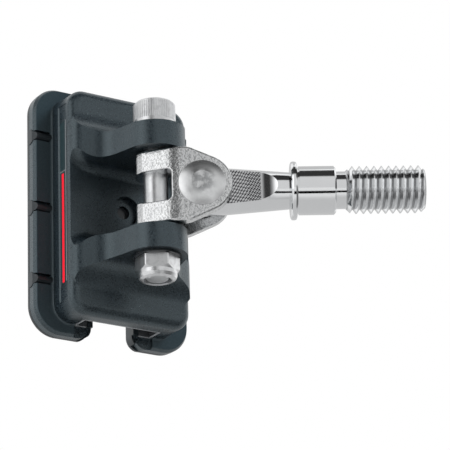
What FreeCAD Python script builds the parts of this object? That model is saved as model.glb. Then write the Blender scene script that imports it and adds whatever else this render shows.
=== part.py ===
import FreeCAD, Part
import math
import os

from FreeCAD import Vector

# Batten car for a mast track. Units are millimetres.
# X points forward away from the mast, Y across the car, Z up along the track.
# The rear face of the car is at X = 0 and the middle of the car is at Z = 0.

# Longer than the part in any direction, for cuts that run right through
THROUGH = 80.0

# Flange: it stands out round the body block by a side lip and an end lip
FLANGE_SIDE_LIP = 4.1
FLANGE_END_LIP = 2.45
FLANGE_FRONT = 3.2
FLANGE_REAR = 0.7
FLANGE_CORNER = 6.0
FLANGE_BEVEL = 0.5
FLANGE_BEVEL_DEPTH = 0.85
FLANGE_REAR_BEVEL = 0.2

# Body block
BODY_HALF_WIDTH = 14.1
BODY_HALF_LENGTH = 24.4
BODY_FRONT = 11.05
BODY_CORNER = 3.8
BODY_EDGE = 1.9
BASE_FILLET = 0.55
FLANGE_HALF_WIDTH = BODY_HALF_WIDTH + FLANGE_SIDE_LIP
FLANGE_HALF_LENGTH = BODY_HALF_LENGTH + FLANGE_END_LIP

# T-slot for the track
NECK_HALF_WIDTH = 5.5
NECK_LEAD = 2.6
NECK_OVERLAP = 0.1
SLOT_REAR = 2.3
SLOT_FRONT = 7.1
SLOT_HALF_WIDTH = 9.2
SLOT_CORNER = 0.6

# Ears
BOLT_X = 20.86
BOSS_RADIUS = 6.2
EAR_INNER = 8.4
EAR_OUTER = 13.7
EAR_FILLET = 5.5
EAR_TAPER = 13.5
EAR_SLOPE = 62.4
EAR_ROOT_X = 11.55
EAR_ROOT_RADIUS = 3.3
EAR_WAIST_RADIUS = 6.0
EAR_BACK = 8.0
EAR_STRAIGHT = 1.2
EAR_INSET = 0.1
EAR_BULGE_INSET = 0.35
EAR_BULGE_RISE = 2.4
POCKET_FLOOR = 9.2
POCKET_CURVE = 80.0
POCKET_FILLET = 2.2
FLARE_START = 8.6
FLARE_RADIUS = 5.4
FLARE_ANGLE = 62.0
SINK_DIAMETER = 6.2
SINK_HOLE = 2.8
SINK_DEPTH = 1.3

# Pivot bolt, washers and nut
BOLT_DIAMETER = 5.0
BOLT_BORE = 5.1
HEAD_DIAMETER = 8.5
HEAD_HEIGHT = 5.2
HEAD_BEVEL = 0.4
SOCKET_FLATS = 4.0
SOCKET_DEPTH = 2.5
SOCKET_TURN = 10
BOLT_END_INSET = 0.25
BOLT_CHAMFER = 0.4
THREAD_GAP = 0.02
WASHER_DIAMETER = 10.0
WASHER_BORE = 5.3
WASHER_THICKNESS = 0.5
SPOT_MARGIN = 0.2
NUT_FLATS = 8.0
NUT_HEX_HEIGHT = 3.0
NUT_HEIGHT = 4.7
NUT_TURN = -3
NUT_TOP_CUT = 0.35
NUT_TOP_RISE = 0.2
NUT_LOW_RISE = 0.62
NUT_EDGE = 0.18
NUT_COLLAR_DIAMETER = 8.0
NUT_COLLAR_ROUND = 0.9
NUT_MOUTH_DIAMETER = 5.7
NUT_MOUTH_DEPTH = 0.6
RING_DIAMETER = 6.6
RING_ROOM = 1.65
RING_LIP = 0.35
RING_GAP = 0.04

# Slider pads, liner and tabs
PAD_HOOK = 6.0
PAD_HOOK_THICKNESS = 0.73
PAD_WRAP_THICKNESS = 0.7
PAD_GAP = 0.02
PAD_MARGIN = 0.05
LINER_THICKNESS = 0.6
LINER_LEG = 6.15
LINER_GAP = 0.05
LINER_SETBACK = 0.1
TAB_SPACING = 15.6
TAB_HEAD_RADIUS = 1.6
TAB_HEAD_X = 1.2
TAB_PROUD = 0.12
TAB_DEPTH = 0.6
TAB_WEB = 1.2
RIB_RADIUS = 0.95
RIB_X = 2.4
GROOVE_GAP = 0.08
GROOVE_HALF_WIDTH = 1.1

# Toggle, in its own frame: s runs from the bolt to the rivet, t across the fork
SWING = 59.5
LUG_BACK = 4.05
LUG_FACET = 44.5
LUG_ROUND = 1.5
CREASE_BACK = 2.78
LUG_CREASE = 3.05
LUG_FLARE = 22.0
LUG_BLEND = 8.0
FORK_HALF_WIDTH = 5.55
FORK_GAP = 3.4
FORK_START = 4.6
TOGGLE_HALF_HEIGHT = 8.0
WINDOW_HALF_HEIGHT = 3.3
WINDOW_END = 3.1
WINDOW_CORNER = 0.9
WINDOW_ROUND = 0.35
RIVET_S = 9.25
FORK_END_RADIUS = 6.2
SHOULDER_S = 6.6
SHOULDER_ROUND = 3.5
CAST_ROUND = 0.6

# Rivet
RIVET_DIAMETER = 4.0
RIVET_HEAD_DIAMETER = 9.5
RIVET_EDGE = 0.15
RIVET_DOME = 10.5
RIVET_RISE = 0.9
RIVET_SEAT = 0.02
RIVET_FIT = 0.01
RIVET_BORE = 4.1

# Stud, distances from the rivet axis
TONGUE_HALF = 3.1
EYE_RADIUS = 4.3
NECK_START_RADIUS = 4.8
NECK_END_RADIUS = 3.75
NECK_STRAIGHT = 4.5
FLAT_END = 11.3
FLAT_RUNOUT = 10.0
COLLAR_START = 18.04
COLLAR_END = 19.3
COLLAR_RADIUS = 5.97
COLLAR_ROUND = 0.4
SHOULDER_START = 19.7
UNDERCUT = 0.25
SHOULDER_END = 27.16
SHOULDER_RADIUS = 4.98
RELIEF_END = 29.2
RELIEF_RADIUS = 3.83
THREAD_RADIUS = 4.88
THREAD_CHAMFER = 0.95
THREAD_RUNIN = 0.7
SHOULDER_EDGE = 0.35
STUD_END = 45.35

# Label in a shallow recess of the left side wall
RECESS_BACK = 5.75
RECESS_FRONT = 9.15
RECESS_SLOPE = 0.3
RECESS_DEPTH = 0.2
RECESS_HALF_LENGTH = 21.3
LABEL_BACK = 6.3
LABEL_FRONT = 8.8
LABEL_HALF_LENGTH = 17.8
LABEL_THICKNESS = 0.1
LABEL_SLANT = 0.5

X_AXIS = Vector(1, 0, 0)
Y_AXIS = Vector(0, 1, 0)
Z_AXIS = Vector(0, 0, 1)


def box(x0, x1, y0, y1, z0, z1):
    return Part.makeBox(x1 - x0, y1 - y0, z1 - z0, Vector(x0, y0, z0))


def cylinder(radius, start, direction, length):
    return Part.makeCylinder(radius, length, start, direction)


def polygon(points):
    closed = points + [points[0]]
    return Part.makePolygon(closed)


def prism(wire, direction):
    return Part.Face(wire).extrude(direction)


def revolved(profile, start, axis):
    """Solid of revolution. The profile lists (distance along axis, radius) pairs."""
    side = Vector(0, 0, 1) if abs(axis.z) < 0.5 else Vector(1, 0, 0)
    points = [start + axis * a + side * r for a, r in profile]
    return Part.Face(polygon(points)).revolve(start, axis, 360)


def rounded_slab(half_y, half_z, corner, x0, x1):
    """Rectangle with round corners in the YZ plane, extruded along X."""
    slab = box(x0, x1, -half_y, half_y, -half_z, half_z)
    edges = [e for e in slab.Edges if abs(e.Vertexes[0].X - e.Vertexes[1].X) > 0.1]
    return slab.makeFillet(corner, edges)


def edges_at_x(shape, x):
    """Edges that lie in the plane at x."""
    return [edge for edge in shape.Edges if all(abs(p.x - x) < 1e-4 for p in edge.discretize(5))]


def edges_round(shape, x, half_y, half_z):
    """Edges in the plane at x that follow a rectangle of the given half sizes or lie inside it."""
    inside = []
    for edge in edges_at_x(shape, x):
        points = edge.discretize(5)
        if all(abs(p.y) < half_y + 1e-3 and abs(p.z) < half_z + 1e-3 for p in points):
            inside.append(edge)
    return inside


def blend(before, corner, after, radius):
    """Arc that rounds a corner between two straight runs, with the points where it starts and ends."""
    to_before = (before - corner).normalize()
    to_after = (after - corner).normalize()
    half = to_before.getAngle(to_after) / 2
    reach = radius / math.tan(half)
    start = corner + to_before * reach
    end = corner + to_after * reach
    middle_way = (to_before + to_after).normalize()
    middle = corner + middle_way * (radius / math.sin(half) - radius)
    return Part.Arc(start, middle, end).toShape(), start, end


def ear_outline():
    """Plan of the ears: a round boss that widens through a waist to the full width of the body."""
    taper = math.radians(EAR_TAPER)
    slope = math.radians(EAR_SLOPE)
    tangent = Vector(BOLT_X + BOSS_RADIUS * math.sin(taper), BOSS_RADIUS * math.cos(taper), 0)
    root = Vector(EAR_ROOT_X, BODY_HALF_WIDTH, 0)
    run = tangent.x - root.x
    drop = root.y - tangent.y
    along = (drop - run * math.tan(taper)) / (math.tan(slope) - math.tan(taper))
    waist = Vector(root.x + along, root.y - along * math.tan(slope), 0)
    back = Vector(EAR_BACK, BODY_HALF_WIDTH, 0)
    first, first_start, first_end = blend(back, root, waist, EAR_ROOT_RADIUS)
    second, second_start, second_end = blend(root, waist, tangent, EAR_WAIST_RADIUS)
    half = [
        Part.makeLine(back, first_start),
        first,
        Part.makeLine(first_end, second_start),
        second,
        Part.makeLine(second_end, tangent),
    ]
    other = [edge.mirror(Vector(0, 0, 0), Y_AXIS) for edge in half]
    nose = Vector(BOLT_X + BOSS_RADIUS, 0, 0)
    tip = Part.Arc(tangent, nose, Vector(tangent.x, -tangent.y, 0)).toShape()
    base = Part.makeLine(back, Vector(back.x, -back.y, 0))
    return Part.Wire(Part.__sortEdges__(half + other + [tip, base]))


def ear_side_outline():
    """Outline across the car that narrows the ear block towards its top and bottom."""
    wide = BODY_HALF_WIDTH
    narrow = BODY_HALF_WIDTH - BODY_EDGE - EAR_INSET
    low = EAR_OUTER + EAR_STRAIGHT
    top = EAR_OUTER + EAR_FILLET
    middle = BODY_HALF_WIDTH - EAR_BULGE_INSET
    middle_z = low + EAR_BULGE_RISE
    edges = [
        Part.makeLine(Vector(0, wide, -low), Vector(0, wide, low)),
        Part.Arc(Vector(0, wide, low), Vector(0, middle, middle_z), Vector(0, narrow, top)).toShape(),
        Part.makeLine(Vector(0, narrow, top), Vector(0, -narrow, top)),
        Part.Arc(Vector(0, -narrow, top), Vector(0, -middle, middle_z), Vector(0, -wide, low)).toShape(),
        Part.makeLine(Vector(0, -wide, low), Vector(0, -wide, -low)),
        Part.Arc(Vector(0, -wide, -low), Vector(0, -middle, -middle_z), Vector(0, -narrow, -top)).toShape(),
        Part.makeLine(Vector(0, -narrow, -top), Vector(0, narrow, -top)),
        Part.Arc(Vector(0, narrow, -top), Vector(0, middle, -middle_z), Vector(0, wide, -low)).toShape(),
    ]
    return prism(Part.Wire(edges), Vector(THROUGH, 0, 0))


def ear_block():
    """Both ears as one block, before the pocket and the outer faces are cut."""
    half_height = EAR_OUTER + EAR_FILLET
    block = Part.Face(ear_outline()).extrude(Vector(0, 0, 2 * half_height))
    block.translate(Vector(0, 0, -half_height))
    return block.common(ear_side_outline())


def outer_scoop(sign):
    """Space above an ear, with the round fillet where the ear meets the body."""
    centre_x = BODY_FRONT + EAR_FILLET
    centre_z = EAR_OUTER + EAR_FILLET
    diagonal = EAR_FILLET * math.sqrt(0.5)
    side = -THROUGH / 2
    top = Vector(BODY_FRONT, side, sign * THROUGH / 2)
    wall = Vector(BODY_FRONT, side, sign * centre_z)
    middle = Vector(centre_x - diagonal, side, sign * (centre_z - diagonal))
    face = Vector(centre_x, side, sign * EAR_OUTER)
    front = Vector(THROUGH, side, sign * EAR_OUTER)
    corner = Vector(THROUGH, side, sign * THROUGH / 2)
    edges = [
        Part.makeLine(top, wall),
        Part.Arc(wall, middle, face).toShape(),
        Part.makeLine(face, front),
        Part.makeLine(front, corner),
        Part.makeLine(corner, top),
    ]
    return prism(Part.Wire(edges), Vector(0, THROUGH, 0))


def pocket_cut():
    """Swing space between the ears. Its top and bottom flare towards both sides."""
    reach = BODY_HALF_WIDTH + FLARE_RADIUS
    centre_z = EAR_INNER + FLARE_RADIUS
    flare = math.radians(FLARE_ANGLE)
    flare_y = FLARE_START + FLARE_RADIUS * math.sin(flare)
    flare_z = centre_z - FLARE_RADIUS * math.cos(flare)
    mid_y = FLARE_START + FLARE_RADIUS * math.sin(flare / 2)
    mid_z = centre_z - FLARE_RADIUS * math.cos(flare / 2)
    x0 = POCKET_FLOOR - POCKET_FILLET
    edges = []
    for sy, sz in ((1, 1), (1, -1), (-1, -1), (-1, 1)):
        start = Vector(x0, sy * FLARE_START, sz * EAR_INNER)
        middle = Vector(x0, sy * mid_y, sz * mid_z)
        end = Vector(x0, sy * flare_y, sz * flare_z)
        edges.append(Part.Arc(start, middle, end).toShape())
        edges.append(Part.makeLine(end, Vector(x0, sy * reach, sz * flare_z)))
    for sz in (1, -1):
        edges.append(Part.makeLine(Vector(x0, -FLARE_START, sz * EAR_INNER),
                                   Vector(x0, FLARE_START, sz * EAR_INNER)))
    for sy in (1, -1):
        edges.append(Part.makeLine(Vector(x0, sy * reach, -flare_z), Vector(x0, sy * reach, flare_z)))
    cut = prism(Part.Wire(Part.__sortEdges__(edges)), Vector(THROUGH, 0, 0))
    axis_x = POCKET_FLOOR + POCKET_CURVE
    floor = cylinder(POCKET_CURVE, Vector(axis_x, 0, -THROUGH / 2), Z_AXIS, THROUGH)
    cut = cut.common(floor)
    walls = []
    for edge in cut.Edges:
        points = edge.discretize(5)
        on_floor = all(abs(math.hypot(p.x - axis_x, p.y) - POCKET_CURVE) < 0.01 for p in points)
        along_wall = abs(points[0].y - points[-1].y) > 0.5
        if on_floor and along_wall and points[0].x < axis_x:
            walls.append(edge)
    return cut.makeFillet(POCKET_FILLET, walls)


def label_recess():
    """Shallow recess in the left side wall, with a sloped rear edge."""
    low = -RECESS_HALF_LENGTH
    floor = RECESS_DEPTH - BODY_HALF_WIDTH
    outside = -RECESS_DEPTH - BODY_HALF_WIDTH
    points = [Vector(RECESS_BACK - RECESS_SLOPE, outside, low), Vector(RECESS_BACK + RECESS_SLOPE, floor, low),
              Vector(RECESS_FRONT, floor, low), Vector(RECESS_FRONT, outside, low)]
    return prism(polygon(points), Vector(0, 0, 2 * RECESS_HALF_LENGTH))


def slot_cut():
    """T-slot that is open to the rear, with rounded lead-ins at both ends of the neck."""
    half = THROUGH / 2
    channel = box(SLOT_REAR, SLOT_FRONT, -SLOT_HALF_WIDTH, SLOT_HALF_WIDTH, -half, half)
    edges = [e for e in channel.Edges if abs(e.Vertexes[0].Z - e.Vertexes[1].Z) > 1]
    channel = channel.makeFillet(SLOT_CORNER, edges)
    return channel.fuse(neck_prism(NECK_HALF_WIDTH))


def neck_prism(half_width):
    """Neck of the slot, which widens with a quarter round at each end."""
    half = THROUGH / 2
    rear = -SLOT_REAR
    front = SLOT_REAR + NECK_OVERLAP
    neck = box(rear, front, -half_width, half_width, -half, half)
    side = half_width + NECK_LEAD
    end = FLANGE_HALF_LENGTH - NECK_LEAD
    for sz in (1, -1):
        for sy in (1, -1):
            y0, y1 = sorted((sy * half_width, sy * side))
            z0, z1 = sorted((sz * FLANGE_HALF_LENGTH, sz * end))
            block = box(rear, front, y0, y1, z0, z1)
            round_end = cylinder(NECK_LEAD, Vector(rear, sy * side, sz * end), X_AXIS, front - rear)
            neck = neck.fuse(block.cut(round_end))
    return neck


def bevel_trim(sign, z, height):
    """Wedge that trims a tab so that it follows the bevel of the flange."""
    slope = FLANGE_BEVEL / FLANGE_BEVEL_DEPTH
    edge = FLANGE_HALF_WIDTH - FLANGE_BEVEL
    above = BASE_FILLET + 1
    low_y = edge - (above - height) * slope
    high_y = edge + (FLANGE_FRONT + height) * slope
    low_z = z - TAB_HEAD_RADIUS - 1
    points = [Vector(FLANGE_FRONT + above, sign * low_y, low_z),
              Vector(0, sign * high_y, low_z),
              Vector(FLANGE_FRONT + above, sign * high_y, low_z)]
    return prism(polygon(points), Vector(0, 0, 2 * TAB_HEAD_RADIUS + 2))


def tab(sign, z, gap):
    """Tab that wraps the edge of the flange: a half-round head on the side and a rib in front."""
    inner = sign * (FLANGE_HALF_WIDTH - TAB_DEPTH - gap)
    y0, y1 = sorted((sign * (FLANGE_HALF_WIDTH + TAB_PROUD), inner))
    head = cylinder(TAB_HEAD_RADIUS + gap, Vector(TAB_HEAD_X, y0, z), Y_AXIS, y1 - y0)
    head = head.common(box(FLANGE_REAR, FLANGE_FRONT, y0, y1, z - THROUGH, z + THROUGH))
    y2, y3 = sorted((sign * (FLANGE_HALF_WIDTH - PAD_MARGIN), inner))
    web = box(FLANGE_REAR / 2, TAB_HEAD_X, y2, y3, z - TAB_WEB, z + TAB_WEB)
    y4, y5 = sorted((sign * FLANGE_HALF_WIDTH, sign * (BODY_HALF_WIDTH + 0.1 - gap)))
    rib = cylinder(RIB_RADIUS + gap, Vector(RIB_X, y4, z), Y_AXIS, y5 - y4)
    return head.fuse(web).fuse(rib).cut(bevel_trim(sign, z, 0.05))


def tab_groove(sign, z):
    """Room for a tab in the flange, with straight walls beside the rib."""
    y0, y1 = sorted((sign * (FLANGE_HALF_WIDTH + 1), sign * (BODY_HALF_WIDTH + 0.5)))
    slot = box(RIB_X, FLANGE_FRONT + 0.4, y0, y1, z - GROOVE_HALF_WIDTH, z + GROOVE_HALF_WIDTH)
    return tab(sign, z, GROOVE_GAP).fuse(slot)


def car_body():
    block = rounded_slab(BODY_HALF_WIDTH, BODY_HALF_LENGTH, BODY_CORNER, FLANGE_REAR, BODY_FRONT)
    block = block.makeFillet(BODY_EDGE, edges_at_x(block, BODY_FRONT))
    plate = rounded_slab(FLANGE_HALF_WIDTH, FLANGE_HALF_LENGTH, FLANGE_CORNER, FLANGE_REAR, FLANGE_FRONT)
    plate = plate.makeChamfer(FLANGE_BEVEL_DEPTH, FLANGE_BEVEL, edges_at_x(plate, FLANGE_FRONT))
    plate = plate.makeChamfer(FLANGE_REAR_BEVEL, edges_at_x(plate, FLANGE_REAR))
    body = plate.fuse(block).removeSplitter()
    base = edges_round(body, FLANGE_FRONT, BODY_HALF_WIDTH, BODY_HALF_LENGTH)
    body = body.makeFillet(BASE_FILLET, base)
    body = body.fuse(ear_block())
    body = body.cut(outer_scoop(1)).cut(outer_scoop(-1))
    body = body.cut(pocket_cut())
    body = body.cut(slot_cut())
    body = body.cut(label_recess())
    body = body.cut(cylinder(BOLT_BORE / 2, Vector(BOLT_X, 0, -THROUGH / 2), Z_AXIS, THROUGH))
    spot = WASHER_DIAMETER / 2 + SPOT_MARGIN
    body = body.cut(cylinder(spot, Vector(BOLT_X, 0, EAR_OUTER), Z_AXIS, EAR_FILLET))
    body = body.cut(cylinder(spot, Vector(BOLT_X, 0, -EAR_OUTER), -Z_AXIS, EAR_FILLET))
    sink_top = POCKET_FLOOR + 0.2
    sink_low = POCKET_FLOOR - SINK_DEPTH
    body = body.cut(cylinder(SINK_HOLE / 2, Vector(SLOT_FRONT - 1, 0, 0), X_AXIS, sink_top - SLOT_FRONT + 1))
    body = body.cut(cylinder(SINK_DIAMETER / 2, Vector(sink_low, 0, 0), X_AXIS, sink_top - sink_low))
    for sign in (1, -1):
        for k in (-1, 0, 1):
            body = body.cut(tab_groove(sign, k * TAB_SPACING))
    return body.removeSplitter()


def channel_liner():
    outer_y = SLOT_HALF_WIDTH - LINER_GAP
    front = SLOT_FRONT - LINER_GAP
    rear = SLOT_REAR + LINER_GAP
    half_length = BODY_HALF_LENGTH - LINER_SETBACK
    outer = box(rear, front, -outer_y, outer_y, -half_length, half_length)
    edges = [e for e in outer.Edges if abs(e.Vertexes[0].Z - e.Vertexes[1].Z) > 1]
    outer = outer.makeFillet(SLOT_CORNER, edges)
    inner_y = outer_y - LINER_THICKNESS
    half = THROUGH / 2
    inner = box(rear + LINER_THICKNESS, front - LINER_THICKNESS, -inner_y, inner_y, -half, half)
    mouth = box(rear - 1, rear + LINER_THICKNESS + 0.1, -LINER_LEG, LINER_LEG, -half, half)
    return outer.cut(inner).cut(mouth)


def slider_pad(sign):
    """Sliding face behind one half of the flange, hooked round the neck of the slot."""
    neck = NECK_HALF_WIDTH - PAD_WRAP_THICKNESS
    hook_rear = SLOT_REAR + PAD_GAP
    hook_front = SLOT_REAR + PAD_GAP + PAD_HOOK_THICKNESS
    edge = FLANGE_HALF_WIDTH - PAD_MARGIN
    end = FLANGE_HALF_LENGTH - PAD_MARGIN
    outline = rounded_slab(edge, end, FLANGE_CORNER, 0, hook_front)
    y0, y1 = sorted((sign * neck, sign * edge))
    plate = box(0, FLANGE_REAR, y0, y1, -end, end)
    w0, w1 = sorted((sign * neck, sign * (NECK_HALF_WIDTH - PAD_GAP)))
    wrap = box(0, hook_front, w0, w1, -end, end)
    h0, h1 = sorted((sign * neck, sign * PAD_HOOK))
    hook = box(hook_rear, hook_front, h0, h1, -end, end)
    pad = plate.fuse(wrap).fuse(hook).common(outline)
    pad = pad.cut(neck_prism(neck))
    for sz in (1, -1):
        z0, z1 = sorted((sz * (FLANGE_HALF_LENGTH - NECK_LEAD), sz * FLANGE_HALF_LENGTH))
        pad = pad.cut(box(SLOT_REAR, FLANGE_FRONT, h0, h1, z0, z1))
    for k in (-1, 0, 1):
        pad = pad.fuse(tab(sign, k * TAB_SPACING, 0))
    return pad.removeSplitter()


def hexagon(flats, centre, height, turn):
    radius = flats / math.sqrt(3)
    points = []
    for i in range(6):
        angle = math.radians(60 * i + turn)
        points.append(centre + Vector(radius * math.cos(angle), radius * math.sin(angle), 0))
    return prism(polygon(points), Vector(0, 0, height))


def pivot_bolt():
    seat = EAR_OUTER + WASHER_THICKNESS
    head = cylinder(HEAD_DIAMETER / 2, Vector(BOLT_X, 0, seat), Z_AXIS, HEAD_HEIGHT)
    top = [e for e in head.Edges if abs(e.BoundBox.ZMin - seat - HEAD_HEIGHT) < 1e-4]
    head = head.makeChamfer(HEAD_BEVEL, top)
    end = -EAR_OUTER - WASHER_THICKNESS - NUT_HEIGHT + BOLT_END_INSET
    shank = cylinder(BOLT_DIAMETER / 2, Vector(BOLT_X, 0, end), Z_AXIS, seat - end + HEAD_BEVEL)
    low = [e for e in shank.Edges if abs(e.BoundBox.ZMax - end) < 1e-4]
    shank = shank.makeChamfer(BOLT_CHAMFER, low)
    socket = hexagon(SOCKET_FLATS, Vector(BOLT_X, 0, seat + HEAD_HEIGHT - SOCKET_DEPTH), HEAD_HEIGHT, SOCKET_TURN)
    return head.fuse(shank).cut(socket).removeSplitter()


def washer(z):
    disc = cylinder(WASHER_DIAMETER / 2, Vector(BOLT_X, 0, z), Z_AXIS, WASHER_THICKNESS)
    through = 3 * WASHER_THICKNESS
    start = Vector(BOLT_X, 0, z - WASHER_THICKNESS)
    return disc.cut(cylinder(WASHER_BORE / 2, start, Z_AXIS, through))


def pivot_nut():
    top = -EAR_OUTER - WASHER_THICKNESS
    start = Vector(BOLT_X, 0, top)
    down = Vector(0, 0, -1)
    corner = NUT_FLATS / math.sqrt(3)
    blank = hexagon(NUT_FLATS, Vector(BOLT_X, 0, top - NUT_HEX_HEIGHT), NUT_HEX_HEIGHT, NUT_TURN)
    upright = [e for e in blank.Edges if abs(e.BoundBox.ZLength - NUT_HEX_HEIGHT) < 1e-4]
    blank = blank.makeChamfer(NUT_EDGE, upright)
    chamfer = revolved([(0, 0), (0, corner - NUT_TOP_CUT), (NUT_TOP_RISE, corner),
                        (NUT_HEX_HEIGHT - NUT_LOW_RISE, corner),
                        (NUT_HEX_HEIGHT, NUT_COLLAR_DIAMETER / 2), (NUT_HEX_HEIGHT, 0)], start, down)
    collar_radius = NUT_COLLAR_DIAMETER / 2
    step = 0.3 * NUT_COLLAR_ROUND
    collar = revolved([(0, 0), (0, collar_radius), (NUT_HEIGHT - NUT_COLLAR_ROUND, collar_radius),
                       (NUT_HEIGHT - step, collar_radius - step),
                       (NUT_HEIGHT, collar_radius - NUT_COLLAR_ROUND), (NUT_HEIGHT, 0)], start, down)
    nut = blank.common(chamfer).fuse(collar)
    bore = cylinder(BOLT_DIAMETER / 2 + THREAD_GAP, start - down, down, 2 * NUT_HEIGHT)
    room = cylinder(RING_DIAMETER / 2, start + down * (NUT_HEIGHT - RING_ROOM), down, RING_ROOM - RING_LIP)
    mouth = cylinder(NUT_MOUTH_DIAMETER / 2, start + down * (NUT_HEIGHT - NUT_MOUTH_DEPTH), down, NUT_HEIGHT)
    return nut.cut(bore).cut(room).cut(mouth).removeSplitter()


def nut_insert():
    low = -EAR_OUTER - WASHER_THICKNESS - NUT_HEIGHT + RING_LIP + RING_GAP
    height = RING_ROOM - RING_LIP - 2 * RING_GAP
    ring = cylinder(RING_DIAMETER / 2 - RING_GAP, Vector(BOLT_X, 0, low), Z_AXIS, height)
    through = cylinder(BOLT_DIAMETER / 2 + THREAD_GAP, Vector(BOLT_X, 0, low - height), Z_AXIS, 3 * height)
    return ring.cut(through)


def toggle_plan():
    """Outline of the toggle seen along the bolt."""
    drop = (LUG_BACK - CREASE_BACK) / math.tan(math.radians(LUG_FACET))
    reach = (FORK_HALF_WIDTH - LUG_CREASE) / math.tan(math.radians(LUG_FLARE))
    middle = Vector(-LUG_BACK, 0, 0)
    front = RIVET_S + FORK_END_RADIUS + 1
    edges = []
    for sign in (1, -1):
        heel = Vector(-LUG_BACK, sign * (LUG_CREASE - drop), 0)
        crease = Vector(-CREASE_BACK, sign * LUG_CREASE, 0)
        corner = Vector(reach - CREASE_BACK, sign * FORK_HALF_WIDTH, 0)
        end = Vector(front, sign * FORK_HALF_WIDTH, 0)
        bend, bend_start, bend_end = blend(middle, heel, crease, LUG_ROUND)
        arc, arc_start, arc_end = blend(crease, corner, end, LUG_BLEND)
        edges += [Part.makeLine(middle, bend_start), bend, Part.makeLine(bend_end, crease)]
        edges += [Part.makeLine(crease, arc_start), arc, Part.makeLine(arc_end, end)]
    edges.append(Part.makeLine(Vector(front, FORK_HALF_WIDTH, 0), Vector(front, -FORK_HALF_WIDTH, 0)))
    wire = Part.Wire(Part.__sortEdges__(edges))
    solid = prism(wire, Vector(0, 0, 2 * TOGGLE_HALF_HEIGHT))
    solid.translate(Vector(0, 0, -TOGGLE_HALF_HEIGHT))
    return solid


def toggle_side():
    """Outline of the toggle seen along the rivet."""
    ds = SHOULDER_S - RIVET_S
    dz = TOGGLE_HALF_HEIGHT
    base = math.atan2(dz, ds)
    turn = math.acos(FORK_END_RADIUS / math.hypot(ds, dz))
    angle = base - turn
    ts = RIVET_S + FORK_END_RADIUS * math.cos(angle)
    tz = FORK_END_RADIUS * math.sin(angle)
    y = -THROUGH / 2
    back = -LUG_BACK - 1
    top = Vector(SHOULDER_S, y, dz)
    low = Vector(SHOULDER_S, y, -dz)
    nose = Vector(RIVET_S + FORK_END_RADIUS, y, 0)
    edges = [
        Part.makeLine(Vector(back, y, -dz), Vector(back, y, dz)),
        Part.makeLine(Vector(back, y, dz), top),
        Part.makeLine(top, Vector(ts, y, tz)),
        Part.Arc(Vector(ts, y, tz), nose, Vector(ts, y, -tz)).toShape(),
        Part.makeLine(Vector(ts, y, -tz), low),
        Part.makeLine(low, Vector(back, y, -dz)),
    ]
    solid = prism(Part.Wire(edges), Vector(0, THROUGH, 0))
    corners = [e for e in solid.Edges if abs(e.Vertexes[0].X - SHOULDER_S) < 1e-4
               and abs(e.Vertexes[-1].X - SHOULDER_S) < 1e-4]
    return solid.makeFillet(SHOULDER_ROUND, corners)


def toggle_blank():
    """Toggle before it is cut, with its outer edges rounded."""
    blank = toggle_plan().common(toggle_side()).removeSplitter()
    rims = []
    for edge in blank.Edges:
        size = edge.BoundBox
        across = size.YLength > 5 and edge.Curve.TypeId == "Part::GeomLine"
        upright = size.ZLength > 10 and size.XLength < 0.01
        if not across and not upright:
            rims.append(edge)
    return blank.makeFillet(CAST_ROUND, rims)


def window_rim(body):
    """Edges where the window comes out on both sides of the toggle."""
    rim = []
    for edge in body.Edges:
        points = edge.discretize(5)
        in_window = all(abs(p.z) < WINDOW_HALF_HEIGHT + 1e-3 for p in points)
        beside = all(abs(p.y) > LUG_CREASE - 1e-3 for p in points)
        if in_window and beside:
            rim.append(edge)
    return rim


def toggle():
    body = toggle_blank()
    half = THROUGH / 2
    window = box(-half, WINDOW_END, -half, half, -WINDOW_HALF_HEIGHT, WINDOW_HALF_HEIGHT)
    ends = [e for e in window.Edges if abs(e.BoundBox.XMin - WINDOW_END) < 1e-4 and e.BoundBox.YLength > 1]
    window = window.makeFillet(WINDOW_CORNER, ends)
    body = body.cut(window)
    body = body.cut(box(FORK_START, half, -FORK_GAP, FORK_GAP, -half, half))
    body = body.makeFillet(WINDOW_ROUND, window_rim(body))
    body = body.cut(cylinder(BOLT_BORE / 2, Vector(0, 0, -half), Z_AXIS, THROUGH))
    body = body.cut(cylinder(RIVET_DIAMETER / 2 + RIVET_FIT, Vector(RIVET_S, -half, 0), Y_AXIS, THROUGH))
    return place(body)


def place(shape):
    """Moves a shape from the frame of the toggle to the frame of the car."""
    shape = shape.copy()
    shape.rotate(Vector(0, 0, 0), Z_AXIS, SWING)
    shape.translate(Vector(BOLT_X, 0, 0))
    return shape


def rivet():
    """Rivet with a low domed head on each side of the fork, pressed flat in its middle."""
    face = FORK_HALF_WIDTH + RIVET_SEAT
    radius = RIVET_HEAD_DIAMETER / 2
    shank = RIVET_DIAMETER / 2
    edge = face + RIVET_EDGE
    top = edge + RIVET_RISE
    crown = math.sqrt(RIVET_DOME ** 2 - radius ** 2)
    flat = math.sqrt(RIVET_DOME ** 2 - (crown + RIVET_RISE) ** 2)
    halfway = math.sqrt(RIVET_DOME ** 2 - (crown + RIVET_RISE / 2) ** 2)
    edges = [Part.makeLine(Vector(RIVET_S + shank, -face, 0), Vector(RIVET_S + shank, face, 0)),
             Part.makeLine(Vector(RIVET_S, -top, 0), Vector(RIVET_S, top, 0))]
    for sign in (1, -1):
        under = Vector(RIVET_S + radius, sign * face, 0)
        rim = Vector(RIVET_S + radius, sign * edge, 0)
        middle = Vector(RIVET_S + halfway, sign * (edge + RIVET_RISE / 2), 0)
        crest = Vector(RIVET_S + flat, sign * top, 0)
        edges += [Part.makeLine(Vector(RIVET_S + shank, sign * face, 0), under), Part.makeLine(under, rim),
                  Part.Arc(rim, middle, crest).toShape(), Part.makeLine(crest, Vector(RIVET_S, sign * top, 0))]
    outline = Part.Face(Part.Wire(Part.__sortEdges__(edges)))
    return place(outline.revolve(Vector(RIVET_S, 0, 0), Y_AXIS, 360))


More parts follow.
